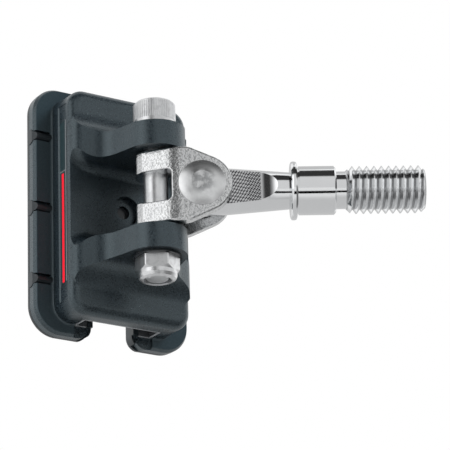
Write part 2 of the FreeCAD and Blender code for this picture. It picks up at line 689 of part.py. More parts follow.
def stud():
    """Threaded stud with a collar, a bright shoulder and a flat tongue that takes the rivet."""
    rim_step = 0.3 * COLLAR_ROUND
    groove_radius = SHOULDER_RADIUS - UNDERCUT
    profile = [(0, 0), (0, NECK_START_RADIUS), (NECK_STRAIGHT, NECK_START_RADIUS),
               (COLLAR_START, NECK_END_RADIUS), (COLLAR_START, COLLAR_RADIUS - COLLAR_ROUND),
               (COLLAR_START + rim_step, COLLAR_RADIUS - rim_step), (COLLAR_START + COLLAR_ROUND, COLLAR_RADIUS),
               (COLLAR_END - COLLAR_ROUND, COLLAR_RADIUS), (COLLAR_END - rim_step, COLLAR_RADIUS - rim_step),
               (COLLAR_END, COLLAR_RADIUS - COLLAR_ROUND), (COLLAR_END, groove_radius),
               (SHOULDER_START, groove_radius), (SHOULDER_START, SHOULDER_RADIUS),
               (SHOULDER_END - SHOULDER_EDGE, SHOULDER_RADIUS), (SHOULDER_END, SHOULDER_RADIUS - SHOULDER_EDGE),
               (SHOULDER_END, RELIEF_RADIUS), (RELIEF_END, RELIEF_RADIUS),
               (RELIEF_END + THREAD_RUNIN, THREAD_RADIUS), (STUD_END - THREAD_CHAMFER, THREAD_RADIUS),
               (STUD_END, THREAD_RADIUS - THREAD_CHAMFER), (STUD_END, 0)]
    turned = revolved(profile, Vector(RIVET_S, 0, 0), X_AXIS)
    eye = cylinder(EYE_RADIUS, Vector(RIVET_S, -TONGUE_HALF, 0), Y_AXIS, 2 * TONGUE_HALF)
    shape = turned.fuse(eye)
    half = THROUGH / 2
    flat_end = RIVET_S + FLAT_END
    for sign in (1, -1):
        y0, y1 = sorted((sign * TONGUE_HALF, sign * half))
        flat = box(-half, flat_end, y0, y1, -half, half)
        centre = Vector(flat_end, sign * (TONGUE_HALF + FLAT_RUNOUT), -half)
        runout = cylinder(FLAT_RUNOUT, centre, Z_AXIS, THROUGH)
        shape = shape.cut(flat).cut(runout)
    shape = shape.cut(cylinder(RIVET_BORE / 2, Vector(RIVET_S, -half, 0), Y_AXIS, THROUGH))
    return place(shape.removeSplitter())


def side_label():
    y = RECESS_DEPTH - BODY_HALF_WIDTH
    points = [Vector(LABEL_BACK, y, LABEL_HALF_LENGTH - LABEL_SLANT), Vector(LABEL_FRONT, y, LABEL_HALF_LENGTH),
              Vector(LABEL_FRONT, y, -LABEL_HALF_LENGTH + LABEL_SLANT), Vector(LABEL_BACK, y, -LABEL_HALF_LENGTH)]
    return prism(polygon(points), Vector(0, -LABEL_THICKNESS, 0))


PIECES = {
    "car_body": car_body,
    "channel_liner": channel_liner,
    "slider_pad_left": lambda: slider_pad(-1),
    "slider_pad_right": lambda: slider_pad(1),
    "pivot_bolt": pivot_bolt,
    "head_washer": lambda: washer(EAR_OUTER),
    "nut_washer": lambda: washer(-EAR_OUTER - WASHER_THICKNESS),
    "pivot_nut": pivot_nut,
    "nut_insert": nut_insert,
    "toggle": toggle,
    "rivet": rivet,
    "stud": stud,
    "side_label": side_label,
}

os.makedirs("parts", exist_ok=True)
for name, make in PIECES.items():
    shape = make()
    solids = shape.Solids
    print(name, "solids", len(solids), "valid", shape.isValid(), "volume", round(shape.Volume, 1))
    if len(solids) == 1:
        shape = solids[0]
    shape.exportStep(os.path.join("parts", name + ".step"))
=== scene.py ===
# %% [markdown]
# A batten car that slides on a mast and carries a batten's threaded stud.
# The solids come packed from the CAD source. This lesson gives them their finishes, and adds the
# rolled thread and the knurls, which are too fine for the solids.
# Everything is in metres, in the car's own frame: +X away from the mast, +Z up along the track.

import math

import bmesh
import bpy
from mathutils import Matrix, Quaternion, Vector


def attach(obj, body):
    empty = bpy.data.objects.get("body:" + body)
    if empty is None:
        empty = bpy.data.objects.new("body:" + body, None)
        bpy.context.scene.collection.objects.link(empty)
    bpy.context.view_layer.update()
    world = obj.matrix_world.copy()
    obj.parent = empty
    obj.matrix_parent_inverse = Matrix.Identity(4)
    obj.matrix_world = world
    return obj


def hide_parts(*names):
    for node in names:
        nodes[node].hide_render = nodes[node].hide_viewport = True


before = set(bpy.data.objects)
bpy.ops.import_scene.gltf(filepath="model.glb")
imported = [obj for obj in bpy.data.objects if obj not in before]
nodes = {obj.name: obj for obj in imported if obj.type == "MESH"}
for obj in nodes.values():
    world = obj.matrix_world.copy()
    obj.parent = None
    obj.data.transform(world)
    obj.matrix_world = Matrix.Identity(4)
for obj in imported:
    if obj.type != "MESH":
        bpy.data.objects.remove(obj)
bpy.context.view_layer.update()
MM = 0.001
DEGREES = 180 / math.pi


def into_scene(thing):
    """A new object is seen only once it is linked to the scene's collection."""
    bpy.context.scene.collection.objects.link(thing)


print("nodes:", sorted(nodes))

# %% [markdown]
# The camera comes first, because every other choice is judged through it.
# Its angle and distance were found by lining up the car's outlines with the photograph.
# It stands below the car and looks slightly up, so the floor is out of view.
# Its numbers are the fit's own, in millimetres, and become metres when the camera is placed.

# %% Camera
BOLT_X = 20.863
CAMERA_TURN = math.radians(33.022)
CAMERA_RISE = math.radians(20.449)
CAMERA_ROLL = math.radians(1.694)
CAMERA_DISTANCE = 584.94
CAMERA_RIGHT = 14.001
CAMERA_UP = -6.521
FOCAL_PIXELS = 2886.4
IMAGE_PIXELS = 450
SENSOR = 36.0

camera_back = Vector((
    math.cos(CAMERA_RISE) * math.cos(CAMERA_TURN),
    -math.cos(CAMERA_RISE) * math.sin(CAMERA_TURN),
    -math.sin(CAMERA_RISE),
))
level_right = Vector((math.sin(CAMERA_TURN), math.cos(CAMERA_TURN), 0))
level_up = camera_back.cross(level_right)
camera_right = level_right * math.cos(CAMERA_ROLL) - level_up * math.sin(CAMERA_ROLL)
camera_up = level_up * math.cos(CAMERA_ROLL) + level_right * math.sin(CAMERA_ROLL)
camera_place = Vector((BOLT_X, 0, 0)) + camera_back * CAMERA_DISTANCE
camera_place += camera_right * CAMERA_RIGHT + camera_up * CAMERA_UP

camera_data = bpy.data.cameras.new("camera")
camera_data.sensor_width = SENSOR
camera_data.lens = FOCAL_PIXELS * SENSOR / IMAGE_PIXELS
camera_data.clip_start = 0.01
camera_data.clip_end = 20
camera = bpy.data.objects.new("camera", camera_data)
axes = Matrix((camera_right, camera_up, camera_back)).transposed()
camera.matrix_world = Matrix.LocRotScale(camera_place * MM, axes.to_quaternion(), None)
into_scene(camera)
bpy.context.scene.camera = camera
bpy.context.scene.view_settings.view_transform = "Standard"
print("lens, mm:", round(camera_data.lens, 2), "camera at, mm:", [round(v, 1) for v in camera_place])

# %% [markdown]
# Shaders and Geometry Nodes are graphs, and a graph drawn by hand hides its arithmetic.
# Here a small class wraps one socket, so `1 - mask * 0.5` adds the Math nodes by itself.
# One method adds any other node: its settings first, then the values or links of its sockets.

# %% Arithmetic on sockets
class Value:
    """One output of a graph. Operators on it add Math nodes."""

    def __init__(self, graph, socket):
        self.graph = graph
        self.socket = socket

    def math(self, operation, *others):
        inputs = dict(enumerate((self,) + others))
        return self.graph.add("ShaderNodeMath", {"operation": operation}, inputs)

    def __add__(self, other):
        return self.math("ADD", other)

    __radd__ = __add__

    def __sub__(self, other):
        return self.math("SUBTRACT", other)

    def __rsub__(self, other):
        return self.graph.math("SUBTRACT", other, self)

    def __mul__(self, other):
        return self.math("MULTIPLY", other)

    __rmul__ = __mul__

    def __truediv__(self, other):
        return self.math("DIVIDE", other)

    def __rtruediv__(self, other):
        return self.graph.math("DIVIDE", other, self)

    def __abs__(self):
        return self.math("ABSOLUTE")

    def over(self, edge, soft):
        """0 below edge and 1 above it, over a soft step."""
        settings = {"interpolation_type": "SMOOTHSTEP"}
        inputs = {"Value": self, "From Min": edge - soft, "From Max": edge + soft}
        return self.graph.add("ShaderNodeMapRange", settings, inputs)

    def under(self, edge, soft):
        return 1 - self.over(edge, soft)

    def within(self, low, high, soft):
        return self.over(low, soft) * self.under(high, soft)

    def clamped(self):
        return self.math("MAXIMUM", 0.0).math("MINIMUM", 1.0)

    def sine(self, length):
        """A wave that repeats after each length."""
        return (self * (math.tau / length)).math("SINE")


class Graph:
    """A node tree that is written as expressions."""

    def __init__(self, tree):
        self.tree = tree

    def add(self, kind, settings=None, inputs=None, output=0):
        node = self.tree.nodes.new(kind)
        for name, setting in (settings or {}).items():
            if name == "stops":
                self.set_stops(node.color_ramp, setting)
            else:
                setattr(node, name, setting)
        for key, value in (inputs or {}).items():
            if isinstance(value, Value):
                self.tree.links.new(value.socket, node.inputs[key])
            else:
                node.inputs[key].default_value = value
        return Value(self, node.outputs[output])

    def set_stops(self, ramp, stops):
        while len(ramp.elements) < len(stops):
            ramp.elements.new(1)
        for element, (place, colour) in zip(ramp.elements, stops):
            element.position = place
            element.color = (*colour, 1)

    def math(self, operation, *values):
        return self.add("ShaderNodeMath", {"operation": operation}, dict(enumerate(values)))

    def vector(self, operation, *values, output=0):
        return self.add("ShaderNodeVectorMath", {"operation": operation}, dict(enumerate(values)), output)

    def split(self, vector):
        return [self.add("ShaderNodeSeparateXYZ", None, {0: vector}, i) for i in range(3)]

    def blend(self, factor, first, second):
        """A colour that goes from first to second."""
        first = first if isinstance(first, Value) else (*first, 1)
        second = second if isinstance(second, Value) else (*second, 1)
        return self.add("ShaderNodeMix", {"data_type": "RGBA"}, {0: factor, 6: first, 7: second}, 2)

    def grey(self, level):
        return self.add("ShaderNodeCombineXYZ", None, {0: level, 1: level, 2: level})

    def place(self):
        """Object coordinates, which are in metres in the car's own frame."""
        return self.add("ShaderNodeTexCoord", None, None, "Object")

    def ray(self, kind):
        """1 for rays of the kind, such as "Is Camera Ray", and 0 for all others."""
        return self.add("ShaderNodeLightPath", None, None, kind)

    def noise(self, place, size, detail=2.0, rough=0.5):
        """Noise from 0 to 1 whose grains are about size metres across."""
        scaled = self.vector("MULTIPLY", place, Vector((1, 1, 1)) / size)
        inputs = {"Vector": scaled, "Scale": 1.0, "Detail": detail, "Roughness": rough}
        return self.add("ShaderNodeTexNoise", {"noise_dimensions": "3D"}, inputs)

    def bump(self, height, strength, distance):
        inputs = {"Height": height, "Strength": strength, "Distance": distance}
        return self.add("ShaderNodeBump", None, inputs)


print("graph helpers ready")

# %% [markdown]
# A finish is one material with a Principled shader.
# What is the same all over is set on the shader's own socket, so that it survives an export.
# Only colours, roughness and the normal are driven by nodes.

# %% A material from a recipe
def finish_of(name, recipe, **constants):
    """Makes a material. The recipe gets the graph and returns what varies over the surface."""
    material = bpy.data.materials.new(name)
    material.use_nodes = True
    tree = material.node_tree
    shader = tree.nodes["Principled BSDF"]
    for socket, value in constants.items():
        shader.inputs[socket.replace("_", " ")].default_value = value
    for socket, value in recipe(Graph(tree)).items():
        if isinstance(value, Value):
            tree.links.new(value.socket, shader.inputs[socket])
        else:
            shader.inputs[socket].default_value = value
    print("finish:", name, len(tree.nodes), "nodes")
    return material


def dress(piece, material):
    """Puts a material on every face of a piece."""
    piece.data.materials.clear()
    piece.data.materials.append(material)


# %% [markdown]
# The body is milled from aluminium and hard-anodised black, with a faint blue-grey cast.
# The oxide could be one flat colour, but the real one has a fine grain, darker and paler by turns.
# Noise at the grain's size drives its tone, its gloss and a shallow bump. The flange's front face
# looks more even and matt, so a mask at its distance from the mast gives it a tone of its own.

# %% Black anodised aluminium
GRAIN = 0.0003
CLOUD = 0.009
FLANGE_FRONT = 3.2 * MM


def anodised(graph):
    place = graph.place()
    cloud = graph.noise(place, CLOUD, 3)
    grain = graph.noise(place, GRAIN, 3, 0.6)
    tone = cloud * 0.3 + grain.over(0.5, 0.16) * 0.7
    flange = abs(graph.split(place)[0] - FLANGE_FRONT).under(0.15 * MM, 0.15 * MM)
    skin = graph.blend(tone, (0.001, 0.004, 0.007), (0.022, 0.03, 0.036))
    colour = graph.blend(flange, skin, (0.013, 0.024, 0.031))
    return {
        "Base Color": colour,
        "Roughness": 0.24 + tone * 0.16 + flange * 0.4,
        "Normal": graph.bump(grain, 0.8, 0.00005),
    }


black_body = finish_of("anodised_black", anodised, Specular_IOR_Level=1.0, Specular_Tint=(0.78, 0.94, 1, 1))
dress(nodes["car_body"], black_body)

# %% [markdown]
# The slider pads, the washers and the nut's ring are hard black or grey plastic.
# Moulded plastic is smoother than the anodised body, with a soft sheen and a slight waviness,
# so one recipe makes all three from two tones and a roughness.
# The liner is a dark extruded strip that was sawn to length, and the saw left its ends paler.

# %% Moulded plastics
WAVE = 0.004
PORES = 0.0004
LINER_END = 24.27 * MM


def moulded(low, high, rough):
    def recipe(graph):
        place = graph.place()
        wave = graph.noise(place, WAVE, 2)
        pores = graph.noise(place, PORES, 2)
        return {
            "Base Color": graph.blend(wave, low, high),
            "Roughness": rough + wave * 0.1,
            "Normal": graph.bump(pores, 0.2, 0.00002),
        }
    return recipe


slider_plastic = finish_of("slider_plastic", moulded((0.008, 0.012, 0.015), (0.016, 0.022, 0.026), 0.3))
washer_plastic = finish_of("washer_plastic", moulded((0.008, 0.011, 0.013), (0.016, 0.019, 0.022), 0.2))
ring_plastic = finish_of("ring_plastic", moulded((0.09, 0.095, 0.1), (0.13, 0.135, 0.14), 0.5))


def sawn_liner(graph):
    place = graph.place()
    cloud = graph.noise(place, WAVE, 2)
    ends = abs(graph.split(place)[2]).over(LINER_END, 0.00001)
    skin = graph.blend(cloud, (0.03, 0.033, 0.036), (0.05, 0.054, 0.058))
    return {
        "Base Color": graph.blend(ends, skin, (0.2, 0.21, 0.22)),
        "Roughness": 0.35 + cloud * 0.1,
    }


liner_plastic = finish_of("liner_plastic", sawn_liner)
dress(nodes["slider_pad_left"], slider_plastic)
dress(nodes["slider_pad_right"], slider_plastic)
dress(nodes["channel_liner"], liner_plastic)
dress(nodes["head_washer"], washer_plastic)
dress(nodes["nut_washer"], washer_plastic)
dress(nodes["nut_insert"], ring_plastic)

# %% [markdown]
# The rivet stands across the toggle, and the stud turns on it, at 59.5 degrees to the car here.
# Their patterns are round or run along the stud, so they are read from the rivet's own place.

# %% Places seen from the rivet
STUD_TURN = math.radians(59.5)
RIVET_REACH = 9.25 * MM
PIVOT_X = 20.86 * MM
stud_axis = Vector((math.cos(STUD_TURN), math.sin(STUD_TURN), 0))
rivet_axis = Vector((-math.sin(STUD_TURN), math.cos(STUD_TURN), 0))
rivet_place = Vector((PIVOT_X, 0, 0)) + stud_axis * RIVET_REACH


def from_rivet(graph):
    """The place itself, and then along the stud, across it and up from the rivet, in metres."""
    place = graph.place()
    arm = graph.vector("SUBTRACT", place, rivet_place)
    along = graph.vector("DOT_PRODUCT", arm, stud_axis, output=1)
    across = graph.vector("DOT_PRODUCT", arm, rivet_axis, output=1)
    return place, along, across, graph.split(arm)[2]


def distance_of(first, second):
    return (first * first + second * second).math("SQRT")


print("rivet at, mm:", [round(v / MM, 2) for v in rivet_place])

# %% [markdown]
# The toggle is cast stainless steel, tumbled bright, and its skin keeps a low orange peel.
# The rivet's head was pressed, so it is smooth round its edge and dented in its middle, with a few stains
# all over. Its middle also gets darker blotches: painted reflection of the dark spots that its dish
# mirrors.
# Such marks could be modelled, but they are a tenth of a millimetre high, so bumps are enough.

# %% Cast steel
PEEL = 0.00045
DENTS = 0.0014
MIDDLE = 2.3 * MM


def cast(graph):
    place = graph.place()
    peel = graph.noise(place, PEEL, 3, 0.55)
    speck = graph.noise(place, PEEL, 2).under(0.45, 0.08)
    dull = graph.noise(place, 0.003, 3)
    clean = graph.blend(dull, (0.64, 0.65, 0.66), (0.8, 0.81, 0.81))
    return {
        "Base Color": graph.blend(speck * 0.32, clean, (0.22, 0.23, 0.24)),
        "Roughness": 0.13 + dull * 0.12,
        "Normal": graph.bump(peel, 0.9, 0.00009),
    }


def pressed(graph):
    place, along, _, height = from_rivet(graph)
    middle = distance_of(along, height).under(MIDDLE, 1.0 * MM)
    dents = graph.noise(place, DENTS, 3, 0.55)
    # The stain is thin real staining all over. In the middle it is mostly painted reflection: dark blotches
    # for what the dish mirrors.
    stain = dents.over(0.5, 0.12) * (0.1 + middle * 0.55)
    clean = graph.blend(dents, (0.78, 0.79, 0.8), (0.84, 0.85, 0.85))
    return {
        "Base Color": graph.blend(stain, clean, (0.25, 0.26, 0.27)),
        "Roughness": 0.27 + dents * 0.1,
        "Normal": graph.bump(dents * middle, 0.9, 0.00016),
    }


cast_steel = finish_of("cast_steel", cast, Metallic=1.0)
pressed_steel = finish_of("pressed_steel", pressed, Metallic=1.0)
dress(nodes["toggle"], cast_steel)
dress(nodes["rivet"], pressed_steel)

# %% [markdown]
# The pivot bolt and its nut are bright drawn and rolled stainless steel.
# They carry fine scratches that follow no direction, a few stains, and a softer shine than the stud.
# Brushed lines would say that they were turned, so plain noise in three sizes is used instead.

# %% Fastener steel
def bright(rough):
    def recipe(graph):
        place = graph.place()
        cloud = graph.noise(place, 0.002, 3)
        scratch = graph.noise(place, 0.0003, 3, 0.6)
        stain = graph.noise(place, 0.0012, 3, 0.6).over(0.54, 0.12) * 0.3
        clean = graph.blend(cloud, (0.74, 0.75, 0.76), (0.86, 0.87, 0.88))
        return {
            "Base Color": graph.blend(stain, clean, (0.36, 0.37, 0.38)),
            "Roughness": rough + cloud * 0.12,
            "Normal": graph.bump(scratch, 0.3, 0.00003),
        }
    return recipe


bright_steel = finish_of("bright_steel", bright(0.28), Metallic=1.0)
nut_steel = finish_of("nut_steel", bright(0.27), Metallic=1.0)
dress(nodes["pivot_bolt"], bright_steel)
dress(nodes["pivot_nut"], nut_steel)

# %% [markdown]
# The stud was turned in a lathe and polished, and its two flats were milled and left hatched.
# The lathe's marks run round the stud, so the pattern is read along the stud's own axis.
# The hatching is strokes that lean one way, crossed near the neck by others, and it lies on the
# flats only. It could be cut as grooves, but they are too shallow to show, so waves of colour do it.

# %% Turned and polished steel
FLAT_HALF = 3.1 * MM
FLAT_END = 11.9 * MM
HATCH = 0.00058
ROWS = 0.00075
RINGS = 0.00012


def turned(graph):
    place, along, across, height = from_rivet(graph)
    rings = graph.add("ShaderNodeTexNoise", {"noise_dimensions": "1D"},
                      {"W": along / RINGS, "Scale": 1.0, "Detail": 2.0})
    flat = along.under(FLAT_END, 0.2 * MM) * abs(abs(across) - FLAT_HALF).under(0.1 * MM, 0.05 * MM)
    wave = graph.noise(place, 0.002, 2) * 0.0005
    leaning = (along - height * 0.6 + wave).sine(HATCH)
    crossing = (along + height * 1.2).sine(HATCH) * along.over(9 * MM, 1 * MM) * 0.8
    rows = (height + along * 0.2 + wave).sine(ROWS)
    stroke = (leaning.math("MAXIMUM", crossing) + rows * 0.35).over(0.3, 0.4) * flat
    cloud = graph.noise(place, 0.003, 2)
    clean = graph.blend(cloud, (0.76, 0.77, 0.78), (0.82, 0.83, 0.84))
    milled = graph.blend(flat * 0.3, clean, (0.3, 0.3, 0.31))
    return {
        "Base Color": graph.blend(stroke, milled, (0.06, 0.06, 0.065)),
        "Roughness": 0.07 + cloud * 0.05 + flat * 0.08 + stroke * 0.1,
        "Normal": graph.bump(rings, 0.12, 0.00001),
    }


turned_steel = finish_of("turned_steel", turned, Metallic=1.0)

# %% [markdown]
# A thread like this is usually rolled between dies. Its valleys are painted darker, as painted shade, and
# are a little rougher than its crests. A map could be painted for that, but how far a point is from the
# stud's axis already tells the two apart.

# %% Rolled steel
VALLEY = 4.15 * MM


def rolled(graph):
    place, _, across, height = from_rivet(graph)
    cloud = graph.noise(place, 0.003, 2)
    pits = graph.noise(place, 0.0005, 3, 0.6)
    # The valley mask paints shade: a darker colour in the valleys, where the flanks shade each other, and a
    # little more roughness.
    valley_shade = distance_of(across, height).under(VALLEY, 0.15 * MM)
    clean = graph.blend(pits, (0.72, 0.73, 0.74), (0.86, 0.87, 0.88))
    return {
        "Base Color": graph.blend(valley_shade * 0.6, clean, (0.2, 0.205, 0.21)),
        "Roughness": 0.1 + cloud * 0.06 + valley_shade * 0.1,
        "Normal": graph.bump(pits, 0.2, 0.00002),
    }


rolled_steel = finish_of("rolled_steel", rolled, Metallic=1.0)

# %% [markdown]
# Two things on this car follow a rule: the thread and the knurls. Geometry Nodes suit both.
# A tree gets one named input for each size, runs once, and its result is kept as a plain mesh.

# %% Geometry Nodes helpers
SOCKETS = {int: "NodeSocketInt", float: "NodeSocketFloat", bpy.types.Material: "NodeSocketMaterial"}


def node_tree(name, sizes):
    """A Geometry Nodes tree with one named input for each size."""
    tree = bpy.data.node_groups.new(name, "GeometryNodeTree")
    tree.interface.new_socket("Geometry", in_out="OUTPUT", socket_type="NodeSocketGeometry")
    for size, value in sizes.items():
        tree.interface.new_socket(size, in_out="INPUT", socket_type=SOCKETS[type(value)])
    graph = Graph(tree)
    source = tree.nodes.new("NodeGroupInput")
    inputs = {size: Value(graph, source.outputs[size]) for size in sizes}
    return graph, inputs


def end_tree(graph, geometry, material):
    """Closes a tree with Realize Instances and Set Material."""
    real = graph.add("GeometryNodeRealizeInstances", None, {0: geometry})
    painted = graph.add("GeometryNodeSetMaterial", None, {0: real, 2: material})
    out = graph.tree.nodes.new("NodeGroupOutput")
    graph.tree.links.new(painted.socket, out.inputs[0])


def bake(name, tree, sizes, move):
    """Runs a tree once and returns its result as a plain mesh object."""
    carrier = bpy.data.objects.new(name + "_carrier", bpy.data.meshes.new(name + "_carrier"))
    into_scene(carrier)
    modifier = carrier.modifiers.new("tree", "NODES")
    modifier.node_group = tree
    for item in tree.interface.items_tree:
        if item.in_out == "INPUT":
            modifier[item.identifier] = sizes[item.name]
    graph = bpy.context.evaluated_depsgraph_get()
    mesh = bpy.data.meshes.new_from_object(carrier.evaluated_get(graph))
    bpy.data.objects.remove(carrier)
    mesh.transform(move)
    mesh.name = name
    piece = bpy.data.objects.new(name, mesh)
    into_scene(piece)
    print("baked:", name, len(mesh.polygons), "faces")
    return piece


print("Geometry Nodes helpers ready")

# %% [markdown]
# The stud's solid ends in a plain cylinder at the crest of its M10 thread.
# A thread could be swept along a helix, but its ends would then need cutting and closing.
# Its radius follows a rule of angle and length, so a flat grid is wrapped round the axis, and each
# point's depth comes from its phase on the helix. The grid's outer rows go to the axis as end caps.

# %% The rolled thread
WELD = 1e-7
FLANK = 2.3
ROOT = 0.08

thread_sizes = {
    "Start": 29.2 * MM,
    "End": 45.35 * MM,
    "Crest": 4.88 * MM,
    "Relief": 3.83 * MM,
    "Pitch": 1.5 * MM,
    "Depth": 0.9 * MM,
    "Chamfer": 0.95 * MM,
    "Around": 96,
    "Along": 340,
    "Material": rolled_steel,
}


def thread_tree():
    graph, size = node_tree("rolled_thread", thread_sizes)
    grid = graph.add("GeometryNodeMeshGrid", None, {
        0: 1.0, 1: 1.0, 2: size["Around"], 3: size["Along"]})
    x, y, _ = graph.split(graph.add("GeometryNodeInputPosition"))
    angle = (x + 0.5) * math.tau
    step = 1 / (size["Along"] - 1)
    inner = (y + 0.5 - step) / (1 - 2 * step)
    wall = abs(y).under(0.5 - step * 0.5, 0.0001)
    length = size["End"] - size["Start"]
    along = inner.clamped() * length
    phase = (along / size["Pitch"] + angle / math.tau).math("FRACT")
    ridge = (abs(phase - 0.5) * FLANK - ROOT).clamped()
    radius = size["Crest"] - size["Depth"] * (1 - ridge)
    chamfer = size["Crest"] - size["Chamfer"] + length - along
    run_in = size["Relief"] + along
    radius = radius.math("MINIMUM", chamfer).math("MINIMUM", run_in) * wall
    spot = graph.add("ShaderNodeCombineXYZ", None, {
        0: radius * angle.math("COSINE"), 1: radius * angle.math("SINE"), 2: size["Start"] + along})
    bent = graph.add("GeometryNodeSetPosition", None, {0: grid, 2: spot})
    closed = graph.add("GeometryNodeMergeByDistance", None, {0: bent, 2: WELD})
    end_tree(graph, closed, size["Material"])
    return graph.tree


def frame_along(axis, side, origin):
    """A matrix whose local Z is the axis and whose local X is the side."""
    third = axis.cross(side)
    return Matrix.LocRotScale(origin, Matrix((side, third, axis)).transposed().to_quaternion(), None)


stud_frame = frame_along(stud_axis, Vector((0, 0, 1)), rivet_place)
thread = bake("stud_thread", thread_tree(), thread_sizes, stud_frame)


def close_and_smooth(piece, angle):
    """Merges doubles, turns the faces outwards and shades all but sharp edges smooth."""
    work = bmesh.new()
    work.from_mesh(piece.data)
    bmesh.ops.remove_doubles(work, verts=work.verts, dist=WELD)
    bmesh.ops.recalc_face_normals(work, faces=work.faces)
    for edge in work.edges:
        edge.smooth = edge.calc_face_angle(0) < angle
    for face in work.faces:
        face.smooth = True
    work.to_mesh(piece.data)
    open_edges = sum(1 for edge in work.edges if not edge.is_manifold)
    volume = work.calc_volume()
    work.free()
    print(piece.name, "open edges:", open_edges, "volume, mm3:", round(volume * 1e9, 2))


close_and_smooth(thread, math.radians(60))

# %% [markdown]
# Everything below the thread is already right in the solid: the collar, the neck and the flats.
# So a merged copy of the solid is cut square where the thread begins, and closed there.
# The two pieces ride on the stud, and together they take the place of its plain solid.

# %% The turned part below the thread
CUT = 29.25 * MM


def turned_part():
    work = bmesh.new()
    work.from_mesh(nodes["stud"].data)
    bmesh.ops.remove_doubles(work, verts=work.verts, dist=WELD)
    everything = work.verts[:] + work.edges[:] + work.faces[:]
    cut = bmesh.ops.bisect_plane(work, geom=everything, plane_co=rivet_place + stud_axis * CUT,
                                 plane_no=stud_axis, clear_outer=True)
    rim = [item for item in cut["geom_cut"] if isinstance(item, bmesh.types.BMEdge)]
    bmesh.ops.holes_fill(work, edges=rim, sides=0)
    mesh = bpy.data.meshes.new("stud_turned")
    work.to_mesh(mesh)
    work.free()
    piece = bpy.data.objects.new("stud_turned", mesh)
    into_scene(piece)
    dress(piece, turned_steel)
    return piece


stud_turned = turned_part()
close_and_smooth(stud_turned, math.radians(20))
for piece in (stud_turned, thread):
    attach(piece, "stud")
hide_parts("stud")

# %% [markdown]
# A cap screw's head has fine straight knurls round its upper part, so that fingers can turn it.
# They could be cut into the head one by one, but they repeat exactly, so Geometry Nodes set one
# small ridge on each point of a circle, half sunk in the head's side.

# %% Knurls round the bolt head
knurl_sizes = {
    "Count": 60,
    "Radius": 4.2 * MM,
    "Width": 0.3 * MM,
    "Height": 3.6 * MM,
    "Base": 15.3 * MM,
    "Material": bright_steel,
}


def knurl_tree():
    graph, size = node_tree("knurls", knurl_sizes)
    circle = graph.add("GeometryNodeMeshCircle", None, {0: size["Count"], 1: size["Radius"]})
    points = graph.add("GeometryNodeMeshToPoints", None, {0: circle})
    rib = graph.add("GeometryNodeMeshCylinder", None, {
        0: 6, 1: 1, 2: 1, 3: size["Width"] / 2, 4: size["Height"]})
    middle = graph.add("ShaderNodeCombineXYZ", None, {2: size["Base"] + size["Height"] / 2})
    lifted = graph.add("GeometryNodeTransform", None, {"Geometry": rib, "Translation": middle})
    ribs = graph.add("GeometryNodeInstanceOnPoints", None, {0: points, 2: lifted})
    end_tree(graph, ribs, size["Material"])
    return graph.tree


knurls = bake("bolt_knurls", knurl_tree(), knurl_sizes, Matrix.Translation((BOLT_X * MM, 0, 0)))
close_and_smooth(knurls, math.radians(40))
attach(knurls, "car")

# %% [markdown]
# The label is a printed film on the side of the body, next to its front edge.
# It could be a picture on the strip, but its red stripe, silver front border and bar are plain bands, which
# Object coordinates give directly and sharply. A fainter pale band along its rear edge is painted
# highlight, for the light line at the recess's edge. The rest of the label is left dark and bare.

# %% The label's film
LINE = 0.00003
STRIPE_X = (7.0 * MM, 7.85 * MM)
STRIPE_Z = (-17.4 * MM, 6.2 * MM)
FRONT_BORDER = 8.5 * MM
# Behind this edge the film gets a pale band: painted highlight of the recess's rear edge.
REAR_HIGHLIGHT_EDGE = 6.42 * MM
BAR_Z = (6.6 * MM, 6.8 * MM)


def label_film(graph):
    place = graph.place()
    x, _, z = graph.split(place)
    stripe = x.within(*STRIPE_X, LINE) * z.within(*STRIPE_Z, LINE)
    # The front band is the printed silver border. The fainter rear band is painted highlight.
    border_and_highlight = x.over(FRONT_BORDER, LINE).math("MAXIMUM", x.under(REAR_HIGHLIGHT_EDGE, LINE) * 0.3)
    silver_and_highlight = border_and_highlight.math("MAXIMUM", z.within(*BAR_Z, LINE)) * 0.8
    cloud = graph.noise(place, 0.002, 2)
    ground = graph.blend(cloud, (0.008, 0.02, 0.024), (0.014, 0.03, 0.034))
    framed = graph.blend(silver_and_highlight, ground, (0.2, 0.21, 0.22))
    return {
        "Base Color": graph.blend(stripe, framed, (0.85, 0.012, 0.03)),
        "Roughness": 0.42 + cloud * 0.1,
        "Normal": graph.bump(cloud, 0.1, 0.00001),
    }


dress(nodes["side_label"], finish_of("label_film", label_film, Specular_IOR_Level=0.3))

# %% [markdown]
# The floor is a plain pale board well below the car, and it melts into white further away.
# More lamps would make it white, but they would also bleach the car, so the board glows by itself:
# a little to the camera, more with its distance from the car. Bright steel shows what is under it,
# so in mirrors the board has a level of its own, with one darker and one brighter side.

# %% Floor
FLOOR = -0.26
FLOOR_HALF = 2
NEAR_HAZE = 0.55
FAR_HAZE = 0.5


def flat_card(name, half_x, half_y, z):
    """A plain rectangle round the Z axis, as an object in the scene."""
    mesh = bpy.data.meshes.new(name)
    corners = [(-half_x, -half_y, z), (half_x, -half_y, z), (half_x, half_y, z), (-half_x, half_y, z)]
    mesh.from_pydata(corners, [], [(0, 1, 2, 3)])
    card = bpy.data.objects.new(name, mesh)
    into_scene(card)
    return card


